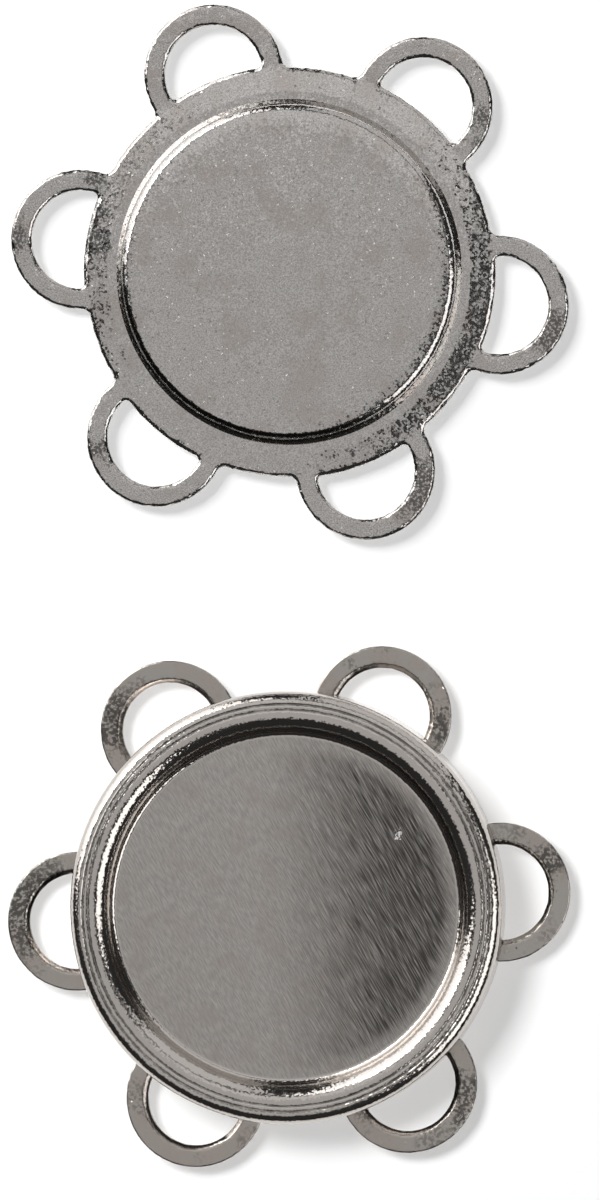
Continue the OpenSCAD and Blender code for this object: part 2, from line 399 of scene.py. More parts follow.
class SheetMesh:
    """Points and faces of one loop's share of a round part, built from rows of points."""

    def __init__(self):
        self.points = []
        self.faces = []

    def row(self, points):
        """Adds points and returns their numbers."""
        first = len(self.points)
        self.points += [tuple(map(float, p)) for p in points]
        return list(range(first, len(self.points)))

    def join(self, row, following, closed=False, keep=lambda column: True):
        """Faces between two rows. A row of one point is a pole."""
        if len(row) == 1:
            self.faces += [(row[0], b, c) for b, c in pairwise(following)]
        elif len(following) == 1:
            self.faces += [(a, following[0], d) for a, d in pairwise(row)]
        else:
            columns = len(row) if closed else len(row) - 1
            for i in filter(keep, range(columns)):
                j = (i + 1) % len(row)
                self.faces.append((row[i], following[i], following[j], row[j]))

    def revolve(self, section, angles):
        """Rows of points round the middle, one for each point (radius, height) of the section."""
        rows = []
        for r, z in section:
            if r < TINY:
                rows.append(self.row([(0, 0, z)]))
            else:
                rows.append(self.row([(r * math.cos(a), r * math.sin(a), z) for a in angles(r)]))
        return rows

    def fill(self, outline, holes, spacing, height, upward=True):
        """Triangles within a closed outline of points that are there, round holes, on a height of x, y."""
        rings = [outline, *holes]
        flat = [np.array([self.points[i][:2] for i in ring]) for ring in rings]
        edge = np.concatenate(flat)
        low, high = edge.min(0), edge.max(0)
        seeds = np.array([
            (low[0] + spacing * (column + 0.5 * (line % 2)), low[1] + spacing * line * math.sqrt(0.75))
            for line in range(int((high[1] - low[1]) / spacing / math.sqrt(0.75)) + 1)
            for column in range(int((high[0] - low[0]) / spacing) + 1)
        ])
        clear = np.array([np.linalg.norm(edge - s, axis=1).min() > 0.6 * spacing for s in seeds])
        within = inside(flat[0], seeds)
        for hole in flat[1:]:
            within &= ~inside(hole, seeds)
        seeds = seeds[clear & within]
        numbers = [i for ring in rings for i in ring]
        numbers += self.row([(x, y, height(x, y)) for x, y in seeds])
        plan = [Vector(self.points[i][:2]) for i in numbers]
        edges, first = [], 0
        for ring in rings:
            edges += [(first + i, first + (i + 1) % len(ring)) for i in range(len(ring))]
            first += len(ring)
        points, _, triangles, origins, _, _ = geometry.delaunay_2d_cdt(plan, edges, [], 0, TINY)
        if len(points) != len(plan):
            raise RuntimeError("two points of an outline meet")
        middles = np.array([sum((points[i] for i in t), Vector((0, 0))) / 3 for t in triangles])
        areas = np.array([geometry.area_tri(*(points[i] for i in t)) for t in triangles])
        kept = inside(flat[0], middles) & (areas > TINY)
        for hole in flat[1:]:
            kept &= ~inside(hole, middles)
        for triangle, keep in zip(triangles, kept):
            if keep:
                face = tuple(numbers[origins[i][0]] for i in triangle)
                self.faces.append(face if upward else face[::-1])

    def punched_edge(self, line, height, top_r, closed):
        """Edge of a punched sheet, drawn in at the top and cut upright. Gives its end rows."""
        rows = []
        for i in range(EDGE_STEPS + 1):
            a = ROLL_OVER * i / EDGE_STEPS
            inset, drop = top_r * (math.sin(ROLL_OVER) - math.sin(a)), top_r * (1 - math.cos(a))
            rows.append(self.row([(x, y, height(x, y) - drop) for x, y in line(inset)]))
        for a in (0, math.pi / 4, math.pi / 2):
            inset, z = LOW_EDGE_R * (1 - math.cos(a)), LOW_EDGE_R * (1 - math.sin(a))
            rows.append(self.row([(x, y, z) for x, y in line(inset)]))
        for row, following in pairwise(rows):
            self.join(row, following, closed)
        return rows[0], rows[-1]


def even_angles(half_sector):
    """Column angles of a plain sector."""
    return lambda r: np.linspace(-half_sector, half_sector, SECTOR_COLUMNS + 1)


def looped_sheet(top, bottom, outline, hole, height, floor_height, edge_r, hole_r, half_sector):
    """One sector of a round sheet with a loop: two revolved faces, and filled ones out to the edges."""
    mesh = SheetMesh()
    angles = even_angles(half_sector)

    def face(section, height_here, rim, hole_row, spacing, upward):
        rows = mesh.revolve(section, angles)
        for row, following in pairwise(rows):
            mesh.join(row, following) if upward else mesh.join(following, row)
        inner = rows[-1]
        start, stop = section[-1][0], np.linalg.norm(mesh.points[rim[0]][:2])
        radii = np.linspace(start, stop, max(3, round((stop - start) / spacing) + 1))[1:-1]
        sides = []
        for a in (-half_sector, half_sector):
            line = [on_circle(point(0, 0), r, a) for r in radii]
            sides.append(mesh.row([(x, y, height_here(x, y)) for x, y in line]))
        outline_row = rim + sides[1][::-1] + inner[::-1] + sides[0]
        mesh.fill(outline_row, [hole_row], spacing, height_here, upward)

    rim_top, rim_low = mesh.punched_edge(outline, height, edge_r, closed=False)
    hole_top, hole_low = mesh.punched_edge(hole, height, hole_r, closed=True)
    face(top, height, rim_top, hole_top, TOP_SPACING, upward=True)
    face(bottom, floor_height, rim_low, hole_low, BACK_SPACING, upward=False)
    return mesh


# Pieces from shapes

def feed(tree, target, source):
    """Links an input to a node's output, or sets it to a value."""
    if hasattr(source, "is_output"):
        tree.links.new(source, target)
    else:
        target.default_value = source


def add_node(tree, kind, *values, operation=None, **named):
    """A node with its operation, and its inputs fed in order or by name."""
    made = tree.nodes.new(kind)
    if operation:
        made.operation = operation
    for target, source in zip(made.inputs, values):
        feed(tree, target, source)
    for label, source in named.items():
        feed(tree, made.inputs[label.replace("_", " ")], source)
    return made


def repeat_tree():
    """Geometry Nodes tree that sets a sector round a centre and welds the copies."""
    name = "round_repeat"
    if name in bpy.data.node_groups:
        return bpy.data.node_groups[name]
    tree = bpy.data.node_groups.new(name, "GeometryNodeTree")
    for label, kind in (("Sector", "Geometry"), ("Copies", "Int"), ("Turn", "Float"), ("Centre", "Vector"),
                        ("Weld", "Float"), ("Finish", "Material")):
        tree.interface.new_socket(label, in_out="INPUT", socket_type="NodeSocket" + kind)
    tree.interface.new_socket("Piece", in_out="OUTPUT", socket_type="NodeSocketGeometry")
    add = partial(add_node, tree)
    given = add("NodeGroupInput").outputs
    instance = add("GeometryNodeGeometryToInstance", given["Sector"])
    copies = add("GeometryNodeDuplicateElements")
    copies.domain = "INSTANCE"
    feed(tree, copies.inputs["Geometry"], instance.outputs[0])
    feed(tree, copies.inputs["Amount"], given["Copies"])
    step = add("ShaderNodeMath", math.tau, given["Copies"], operation="DIVIDE").outputs[0]
    number = copies.outputs["Duplicate Index"]
    own_turn = add("ShaderNodeMath", number, step, operation="MULTIPLY").outputs[0]
    spin = add("ShaderNodeMath", own_turn, given["Turn"], operation="ADD").outputs[0]
    rotation = add("FunctionNodeEulerToRotation", add("ShaderNodeCombineXYZ", Z=spin).outputs[0])
    turned_copies = add("GeometryNodeRotateInstances", Instances=copies.outputs["Geometry"],
                        Rotation=rotation.outputs[0])
    moved = add("GeometryNodeTranslateInstances", Instances=turned_copies.outputs[0],
                Translation=given["Centre"], Local_Space=False)
    real = add("GeometryNodeRealizeInstances", moved.outputs[0])
    welded = add("GeometryNodeMergeByDistance", Geometry=real.outputs[0], Distance=given["Weld"])
    finished = add("GeometryNodeSetMaterial", Geometry=welded.outputs[0], Material=given["Finish"])
    add("NodeGroupOutput", finished.outputs[0])
    return tree


def evaluated(piece, tree, **inputs):
    """Puts the tree on the piece with its named inputs, and keeps the result as the piece's own mesh."""
    modifier = piece.modifiers.new(tree.name, "NODES")
    modifier.node_group = tree
    for item in tree.interface.items_tree:
        if item.in_out == "INPUT" and item.name in inputs:
            modifier[item.identifier] = inputs[item.name]
    graph = bpy.context.evaluated_depsgraph_get()
    made = piece.evaluated_get(graph)
    mesh = bpy.data.meshes.new_from_object(made, preserve_all_data_layers=True, depsgraph=graph)
    piece.modifiers.clear()
    piece.data = mesh


def rough_up(mesh, centre, burr):
    """Moves the points within the burr's reach a little by smooth noise, inside the mesh's own box."""
    noise.seed_set(BURR_SEED)
    places = [v.co.copy() for v in mesh.vertices]
    low, high = ([pick(co[i] for co in places) for i in range(3)] for pick in (min, max))
    for v in mesh.vertices:
        off = (v.co - centre) / MM
        if burr.inner_r < off.xy.length < burr.outer_r and off.z > burr.lowest:
            moved = v.co + noise.noise_vector(v.co / (burr.width * MM)) * (burr.height * MM)
            v.co = [min(max(moved[i], low[i]), high[i]) for i in range(3)]


def round_piece(name, sector, finish, centre, turn, count, burr=None):
    """The finished round piece: one sector repeated about its centre, closed and shaded."""
    data = bpy.data.meshes.new(name)
    data.from_pydata([Vector(p) * MM for p in sector.points], [], sector.faces)
    piece = bpy.data.objects.new(name, data)
    bpy.context.collection.objects.link(piece)
    evaluated(piece, repeat_tree(), Copies=count, Turn=turn, Centre=centre, Weld=WELD * MM, Finish=finish)
    shell = bmesh.new()
    shell.from_mesh(piece.data)
    open_edges = [e for e in shell.edges if not e.is_manifold]
    if open_edges:
        raise RuntimeError(f"{name} has {len(open_edges)} open edges")
    bmesh.ops.recalc_face_normals(shell, faces=shell.faces)
    shell.to_mesh(piece.data)
    shell.free()
    if burr:
        rough_up(piece.data, centre, burr)
    piece.data.shade_smooth()
    piece.data.set_sharp_from_angle(angle=SHARP_EDGE)
    return piece


# Finishes

class Finish:
    """Builds one metal's node tree. Patterns are laid out in millimetres from the middle of the half."""

    def __init__(self, name, base, centre, metallic=1.0):
        self.material = bpy.data.materials.new(name)
        self.material.use_nodes = True
        self.tree = self.material.node_tree
        self.add = partial(add_node, self.tree)
        self.shader = self.tree.nodes["Principled BSDF"]
        self.shader.inputs["Metallic"].default_value = metallic
        self.colour = (*base, 1)
        self.shader.inputs["Base Color"].default_value = self.colour
        mapping = self.add("ShaderNodeMapping", Vector=self.add("ShaderNodeTexCoord").outputs["Object"])
        mapping.vector_type = "TEXTURE"
        mapping.inputs["Location"].default_value = centre
        mapping.inputs["Scale"].default_value = (MM, MM, MM)
        self.place = mapping.outputs[0]
        self.plan = self.vector("MULTIPLY", self.place, FLATTEN)
        self.radius = self.vector("LENGTH", self.plan)
        self.outward = self.vector("NORMALIZE", self.plan)
        self.leans = []

    def maths(self, operation, *values):
        return self.add("ShaderNodeMath", *values, operation=operation).outputs[0]

    def product(self, *factors):
        return reduce(partial(self.maths, "MULTIPLY"), factors)

    def vector(self, operation, *values):
        made = self.add("ShaderNodeVectorMath", *values, operation=operation)
        return made.outputs["Value" if operation in ("LENGTH", "DOT_PRODUCT") else "Vector"]

    def scaled(self, vector, factor):
        made = self.add("ShaderNodeVectorMath", vector, operation="SCALE", Scale=factor)
        return made.outputs["Vector"]

    def between(self, value, low, high, start=0.0, end=1.0):
        """Smooth step from start to end as value goes from low to high."""
        made = self.add("ShaderNodeMapRange", value, low, high, start, end)
        made.interpolation_type = "SMOOTHSTEP"
        return made.outputs["Result"]

    def apart(self, value, other):
        """How far two numbers lie apart."""
        return self.maths("ABSOLUTE", self.maths("SUBTRACT", value, other))

    def noise(self, place, scale, detail):
        return self.add("ShaderNodeTexNoise", Vector=place, Scale=scale, Detail=detail).outputs

    def cloud(self, size, detail=2.0, shift=None):
        """Smooth noise from about 0.25 to 0.75, with blots of a size in millimetres."""
        place = self.vector("ADD", self.place, shift) if shift else self.place
        return self.noise(place, 1 / size, detail)["Fac"]

    def cells(self, place, size):
        """Random colour and place of irregular cells of a size in millimetres."""
        return self.add("ShaderNodeTexVoronoi", Vector=place, Scale=1 / size).outputs

    def lean(self, direction, amount):
        """Leans the surface's normal towards a direction."""
        self.leans.append(self.scaled(direction, amount))

    def tint(self, colour, amount):
        """Blends the colour laid so far towards another."""
        mix = self.tree.nodes.new("ShaderNodeMix")
        mix.data_type = "RGBA"
        for number, source in ((0, amount), (6, self.colour), (7, (*colour, 1))):
            feed(self.tree, mix.inputs[number], source)
        self.colour = mix.outputs[2]
        feed(self.tree, self.shader.inputs["Base Color"], self.colour)

    def haze(self, size, low, high, extra=None):
        """Roughness that drifts between two values, with some more added where extra is above 0."""
        rough = self.between(self.cloud(size), 0.3, 0.7, low, high)
        if extra:
            rough = self.maths("ADD", rough, extra)
        feed(self.tree, self.shader.inputs["Roughness"], rough)

    def grain(self, size, tilt, amount=1.0):
        """Small facets that lean every way."""
        way = self.vector("SUBTRACT", self.cells(self.place, size)["Color"], HALVES)
        self.lean(way, self.maths("MULTIPLY", 2 * tilt, amount))

    def specks(self, size, chance, tilt):
        """A few facets that lean far enough to catch a light. Gives their mask."""
        cell = self.cells(self.vector("ADD", self.place, (3.1, 7.7, 1.3)), size)
        parts = self.add("ShaderNodeSeparateXYZ", cell["Color"]).outputs
        chosen = self.maths("GREATER_THAN", parts[2], 1 - chance)
        small = self.maths("LESS_THAN", cell["Distance"], self.maths("MULTIPLY", parts[1], 0.7))
        mask = self.product(chosen, small)
        way = self.vector("MULTIPLY", self.vector("SUBTRACT", cell["Color"], HALVES), (2, 2, 0))
        self.lean(way, self.maths("MULTIPLY", mask, tilt))
        return mask

    def scratches(self, cell_size, half_length, half_width, chance, tilt=0.3):
        """One straight scratch in some of the cells, each turned its own way. Gives their mask."""
        cell = self.cells(self.plan, cell_size)
        offset = self.vector("SUBTRACT", self.plan, self.scaled(cell["Position"], cell_size))
        parts = self.add("ShaderNodeSeparateXYZ", cell["Color"]).outputs
        turn = self.maths("MULTIPLY", parts[0], math.tau)
        cosine, sine = self.maths("COSINE", turn), self.maths("SINE", turn)
        along = self.add("ShaderNodeCombineXYZ", cosine, sine).outputs[0]
        across = self.vector("CROSS_PRODUCT", along, (0, 0, 1))
        off = self.vector("DOT_PRODUCT", offset, across)
        down = self.maths("ABSOLUTE", self.vector("DOT_PRODUCT", offset, along))
        near = self.maths("LESS_THAN", self.maths("ABSOLUTE", off), half_width)
        short = self.maths("LESS_THAN", down, self.maths("MULTIPLY", parts[1], half_length))
        mask = self.product(near, short, self.maths("GREATER_THAN", parts[2], 1 - chance))
        side = self.maths("MULTIPLY", self.maths("DIVIDE", off, half_width), tilt)
        self.lean(across, self.product(side, mask))
        return mask

    def ring_lines(self, pitch, tilt, amount=1.0):
        """Fine lines round the middle, as from rolling or polishing on a lathe."""
        rings = self.add("ShaderNodeCombineXYZ", self.maths("DIVIDE", self.radius, pitch)).outputs[0]
        line = self.noise(self.vector("ADD", rings, self.scaled(self.place, 0.35)), 1.0, 1.0)["Fac"]
        slope = self.maths("MULTIPLY", self.maths("SUBTRACT", line, 0.5), 2 * tilt)
        self.lean(self.outward, self.maths("MULTIPLY", slope, amount))

    def strokes(self, pitch, stroke, detail=2.0):
        """Noise drawn out into nearly straight lines along the brushing, pitch apart and stroke long."""
        bow = self.scaled(self.noise(self.place, 0.25, 1.0)["Color"], 0.14)
        bowed = self.vector("ADD", self.place, bow)
        u = self.maths("DIVIDE", self.vector("DOT_PRODUCT", bowed, BRUSH_ALONG), stroke)
        v = self.maths("DIVIDE", self.vector("DOT_PRODUCT", bowed, BRUSH_ACROSS), pitch)
        return self.noise(self.add("ShaderNodeCombineXYZ", u, v).outputs[0], 1.0, detail)["Fac"]

    def brushing(self, pitch, stroke, tilt, amount):
        """Brushed lines, pitch apart and stroke long."""
        slope = self.maths("MULTIPLY", self.maths("SUBTRACT", self.strokes(pitch, stroke), 0.5), 2 * tilt)
        self.lean(BRUSH_ACROSS, self.product(slope, amount))

    def stains(self, spots):
        """Mask of dark speckles in ragged spots, each given by its place and radius in millimetres."""
        ragged = self.between(self.cloud(0.7), 0.3, 0.7, -0.4, 0.4)
        masks = []
        for x, y, radius in spots:
            off = self.vector("MULTIPLY", self.vector("SUBTRACT", self.place, (x, y, 0)), FLATTEN)
            distance = self.maths("ADD", self.vector("LENGTH", off), ragged)
            masks.append(self.between(distance, 0.3 * radius, 1.1 * radius, 1, 0))
        whole = reduce(partial(self.maths, "MAXIMUM"), masks)
        speckles = self.maths("ADD", self.cloud(0.1, 3.0), self.maths("MULTIPLY", whole, 0.12))
        return self.product(whole, self.between(speckles, 0.5, 0.66))

    def done(self):
        """Adds all leans to the surface's own normal."""
        normal = self.add("ShaderNodeNewGeometry").outputs["Normal"]
        for lean in self.leans:
            normal = self.vector("ADD", normal, lean)
        feed(self.tree, self.shader.inputs["Normal"], self.vector("NORMALIZE", normal))
        return self.material


def stud_finish(colours, centre):
    """Nickel plating on a fine grain, with specks, scratches, stains and painted shade in the corner at the
    disc's foot on one side.
    """
    metal = Finish("fine_grained_nickel", colours.stud_nickel, centre)
    metal.grain(size=0.07, tilt=0.06)
    metal.grain(size=0.2, tilt=0.02)
    bright = metal.maths("MAXIMUM", metal.specks(size=0.06, chance=0.05, tilt=0.3),
                         metal.scratches(0.6, half_length=0.16, half_width=0.012, chance=0.2))
    metal.haze(2.2, 0.1, 0.14, metal.maths("MULTIPLY", bright, 0.5))
    metal.tint(colours.dull_nickel, metal.between(metal.cloud(0.05), 0.36, 0.64))
    metal.tint(colours.wear_and_shade, metal.between(metal.cloud(0.11, shift=(5, 9, 2)), 0.62, 0.7, 0, 0.35))
    metal.tint(colours.tarnish, metal.between(metal.cloud(1.3), 0.45, 0.7, 0, 0.5))
    metal.tint(colours.wear_and_shade, metal.product(metal.stains(STUD_STAINS), 0.8))
    # Painted shade in the corner at the disc's foot, on the side towards -X and -Y, broken up in patches
    shade_in_corner = metal.between(metal.apart(metal.radius, PAINTED_FOOT_SHADE_R), 0.1, 0.17, 0.92, 0)
    shade_on_side = metal.between(metal.vector("DOT_PRODUCT", metal.place, PAINTED_FOOT_SHADE_SIDE), 2.2, 3.8)
    shade_breakup = metal.between(metal.cloud(0.07), 0.62, 0.68, 1, 0)
    metal.tint(colours.wear_and_shade, metal.product(shade_in_corner, shade_on_side, shade_breakup))
    return metal.done()


def cap_finish(colours, centre, cap):
    """Polished wall and crown with fine rings, and a brushed recess floor with painted shade on one side,
    where its brushing is stronger too.
    """
    metal = Finish("drawn_nickel", colours.cap_nickel, centre)
    on_floor = metal.between(metal.radius, cap.floor_r - 0.22, cap.floor_r - 0.12, 1, 0)
    off_floor = metal.maths("SUBTRACT", 1, on_floor)
    # Painted shade on the recess floor, growing towards +X and weaker near the floor's rim; the brushing
    # grows there too
    wear_and_shade = metal.between(metal.vector("DOT_PRODUCT", metal.place, SHADE_AND_BRUSH_SIDE), -1.2, 4.4)
    weaker_at_rim = metal.between(metal.radius, 5.1, 5.7, 1, 0.25)
    wear_and_shade = metal.product(wear_and_shade, weaker_at_rim, on_floor)
    metal.brushing(0.035, 1.0, tilt=0.05, amount=metal.maths("ADD", on_floor, wear_and_shade))
    metal.ring_lines(0.06, tilt=0.03, amount=off_floor)
    metal.grain(size=0.06, tilt=0.06, amount=off_floor)
    metal.scratches(1.2, half_length=0.1, half_width=0.012, chance=0.15)
    metal.haze(3.0, 0.09, 0.14, metal.maths("MULTIPLY", on_floor, 0.1))
    mottle = metal.between(metal.strokes(0.05, 0.3, 3.0), 0.36, 0.64)
    metal.tint(colours.dull_nickel, metal.product(mottle, on_floor))
    film = metal.between(metal.cloud(1.1, 3.0), 0.45, 0.7, 0, 0.45)
    metal.tint(colours.tarnish, metal.product(film, on_floor))
    lines = metal.maths("ADD", metal.between(metal.strokes(0.03, 1.1, 1.0), 0.38, 0.62, 0.45, 0.95),
                        metal.between(metal.strokes(0.023, 0.6, 0.0), 0.35, 0.65, -0.15, 0.2))
    # Dark brush lines over the whole floor, much stronger where the painted shade lies
    shade = metal.product(lines, metal.maths("ADD", wear_and_shade, metal.maths("MULTIPLY", on_floor, 0.16)))
    metal.tint(colours.wear_and_shade, metal.maths("MINIMUM", shade, 1))
    off = metal.vector("MULTIPLY", metal.vector("SUBTRACT", metal.place, NICK), (1, 0.55, 0))
    ragged = metal.between(metal.cloud(0.12), 0.3, 0.7, -0.07, 0.07)
    distance = metal.maths("ADD", metal.vector("LENGTH", off), ragged)
    metal.tint(NICK_COLOUR, metal.between(distance, 0.05, 0.1, 1, 0))
    in_lines = [metal.between(metal.apart(metal.radius, r), 0.01, 0.055, 0.75, 0) for r in rolled_lines(cap)]
    patchy = metal.between(metal.cloud(0.5, 4.0), 0.3, 0.6, 0.35, 1)
    metal.tint(colours.wear_and_shade, metal.product(metal.maths("ADD", *in_lines), patchy))
    return metal.done()


def loop_finish(colours, centre):
    """Satin nickel with stains and dark pitted patches."""
    metal = Finish("satin_nickel", colours.loop_nickel, centre)
    metal.grain(size=0.06, tilt=0.05)
    metal.specks(size=0.08, chance=0.012, tilt=0.4)
    metal.scratches(0.8, half_length=0.3, half_width=0.015, chance=0.25)
    film = metal.cloud(1.4, 3.0)
    feed(metal.tree, metal.shader.inputs["Roughness"], metal.between(film, 0.3, 0.7, 0.14, 0.24))
    metal.tint(colours.tarnish, metal.between(film, 0.42, 0.6, 0, 0.7))
    pits = metal.between(metal.cloud(0.12, 3.0), 0.42, 0.6)
    patch = metal.between(metal.cloud(1.6, shift=(11, 4, 7)), 0.52, 0.64)
    metal.tint(colours.wear_and_shade, metal.product(pits, patch, 0.45))
    metal.tint(colours.wear_and_shade, metal.product(metal.stains(SOCKET_STAINS), 0.85))
    return metal.done()


def keeper_finish(colours, centre):
    """Turned steel with tool rings."""
    metal = Finish("turned_steel", colours.keeper_steel, centre)
    metal.ring_lines(0.12, tilt=0.1)
    metal.grain(size=0.08, tilt=0.05)
    metal.haze(1.5, 0.26, 0.36)
    return metal.done()


def magnet_finish(colours, centre):
    """Dull sintered magnet."""
    metal = Finish("sintered_magnet", colours.magnet_grey, centre, metallic=0.6)
    metal.grain(size=0.1, tilt=0.2)
    metal.haze(0.6, 0.42, 0.6)
    return metal.done()


# Operators

def halves():
    """Middles of the socket half and the stud half."""
    return flat_centre("socket_magnet"), flat_centre("stud_keeper")


def rolled_lines(cap):
    """Radii of the two lines rolled into the crown."""
    shoulder_r = cap.floor_r + cap.recess_h * math.tan(cap.recess_lean) + cap.crown_w
    return shoulder_r - cap.line_in - cap.line_pitch, shoulder_r - cap.line_in


def stud_section(stud):
    """Both faces of the stud plate in section, from the middle out to where the brim starts to slope."""
    disc_r = stud.disc_d / 2
    foot_r = disc_r + stud.disc_rise * math.tan(stud.disc_lean)
    band_r = foot_r + stud.coined_w
    brim_r = band_r + stud.brim_w
    band_z = stud.sheet_t + stud.brim_drop
    top_z = band_z + stud.disc_rise
    wall, fall = math.tan(stud.disc_lean), math.tan(stud.roll_lean)
    flat_r = disc_r - stud.roll_w
    drop = stud.roll_w * fall / (1 - fall * wall)
    corners = [point(0, top_z), point(flat_r, top_z), point(disc_r + drop * wall, top_z - drop),
               point(foot_r, band_z), point(band_r, band_z), point(brim_r, stud.sheet_t)]
    radii = [stud.roll_r, stud.edge_r, stud.foot_r, stud.brim_bend_r]
    top, bottom = sheet_sides(corners, radii, stud.sheet_t)

    def crowned(side, base_z):
        """The same side with the disc slightly domed."""
        domed = []
        for r, z in side:
            rise = min(1, max(0, (z - base_z) / stud.disc_rise))
            domed.append(point(r, z - stud.crown * rise * min(1, (r / flat_r) ** 2)))
        return domed

    top = crowned(spaced(top, VISIBLE_STEP), band_z)
    bottom = crowned(spaced(bottom, HIDDEN_STEP), band_z - stud.sheet_t)
    slope = stud.brim_drop / stud.brim_w

    def height(x, y):
        return stud.sheet_t + slope * max(0, brim_r - math.hypot(x, y))

    def floor_height(x, y):
        return max(0, height(x, y) - stud.sheet_t)

    return top[:-1], bottom[:-1], height, floor_height, brim_r


class SNAP_OT_stud_plate(bpy.types.Operator):
    """Stamps the stud plate: raised disc, coined band, brim and six loops in one sheet"""

    bl_idname = "snap.stud_plate"
    bl_label = "Stud plate"

    def execute(self, context):
        stud, loops = in_mm(context.scene.snap_stud), in_mm(context.scene.snap_loops)
        _, centre = halves()
        top, bottom, height, floor_height, brim_r = stud_section(stud)
        half_sector = math.pi / loops.count
        loop_r = loops.outer_d / 2
        hole_r = loop_r - loops.stud_band
        sector = looped_sheet(
            top, bottom,
            lambda inset: loop_outline(brim_r, stud.root_r, loop_r, loops.centre_r, half_sector, inset),
            lambda outset: d_hole(brim_r + stud.hole_lap, hole_r, stud.corner_r, loops.centre_r, outset),
            height, floor_height, stud.punched_r, stud.punched_r, half_sector)
        finish = stud_finish(context.scene.snap_finish, centre)
        burr = Burr(height=0.02, width=0.14, inner_r=brim_r - BURR_MARGIN,
                    outer_r=loops.centre_r + loop_r - BURR_MARGIN, lowest=BURR_MARGIN)
        plate = round_piece("stud_sheet", sector, finish, centre, loops.stud_turn, loops.count, burr=burr)
        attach(plate, "root")
        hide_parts("stud_plate")
        bpy.data.collections["stud_half"].objects.link(plate)
        return {"FINISHED"}


class SNAP_OT_keeper(bpy.types.Operator):
    """Turns the steel keeper that sits in the hollow behind the raised disc"""

    bl_idname = "snap.keeper"
    bl_label = "Keeper"

    def execute(self, context):
        stud, loops = in_mm(context.scene.snap_stud), in_mm(context.scene.snap_loops)
        low, high = (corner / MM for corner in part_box("stud_keeper"))
        centre = flat_centre("stud_keeper")
        radius, c = (high.x - low.x) / 2, stud.keeper_chamfer
        section = [point(0, high.z), point(radius - c, high.z), point(radius, high.z - c),
                   point(radius, low.z + c), point(radius - c, low.z), point(0, low.z)]
        sector = SheetMesh()
        rows = sector.revolve(spaced(section, FLAT_STEP), even_angles(math.pi / loops.count))
        for row, following in pairwise(rows):
            sector.join(row, following)
        finish = keeper_finish(context.scene.snap_finish, centre)
        keeper = round_piece("keeper_disc", sector, finish, centre, loops.stud_turn, loops.count)
        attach(keeper, "root")
        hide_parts("stud_keeper")
        bpy.data.collections["stud_half"].objects.link(keeper)
        return {"FINISHED"}


class SNAP_OT_loop_plate(bpy.types.Operator):
    """Punches the socket half's flat plate with its six round loops"""

    bl_idname = "snap.loop_plate"
    bl_label = "Socket loop plate"
    plain_margin = 0.4
    root_r = 0.04

    def execute(self, context):
        cap, loops = in_mm(context.scene.snap_cap), in_mm(context.scene.snap_loops)
        centre, _ = halves()
        low, high = (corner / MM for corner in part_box("socket_loop_plate"))
        half_sector = math.pi / loops.count
        loop_r = loops.outer_d / 2
        hole_r = loop_r - loops.socket_band
        cap_r = cap.floor_r + cap.recess_h * math.tan(cap.recess_lean) + cap.crown_w + cap.flare_w
        skirt_slope = cap.flare_w / (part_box("socket_cap")[1].z / MM)
        plate_r = cap_r - skirt_slope * high.z - cap.sheet_t - cap.plate_gap
        inner_r = loops.centre_r - hole_r - self.plain_margin
        sector = looped_sheet(
            spaced([point(0, cap.plate_t), point(inner_r, cap.plate_t)], FLAT_STEP),
            spaced([point(0, 0), point(inner_r, 0)], FLAT_STEP),
            lambda inset: loop_outline(plate_r, self.root_r, loop_r, loops.centre_r, half_sector, inset),
            lambda outset: round_hole(hole_r, loops.centre_r, outset),
            lambda x, y: cap.plate_t, lambda x, y: 0,
            cap.rim_edge_r, cap.hole_edge_r, half_sector)
        sector.points = [(x, y, z + low.z) for x, y, z in sector.points]
        finish = loop_finish(context.scene.snap_finish, centre)
        burr = Burr(height=0.012, width=0.2, inner_r=cap_r + 0.05,
                    outer_r=loops.centre_r + loop_r - BURR_MARGIN, lowest=low.z + BURR_MARGIN)
        plate = round_piece("socket_loops", sector, finish, centre, loops.socket_turn, loops.count, burr=burr)
        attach(plate, "root")
        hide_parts("socket_loop_plate")
        bpy.data.collections["socket_half"].objects.link(plate)
        return {"FINISHED"}


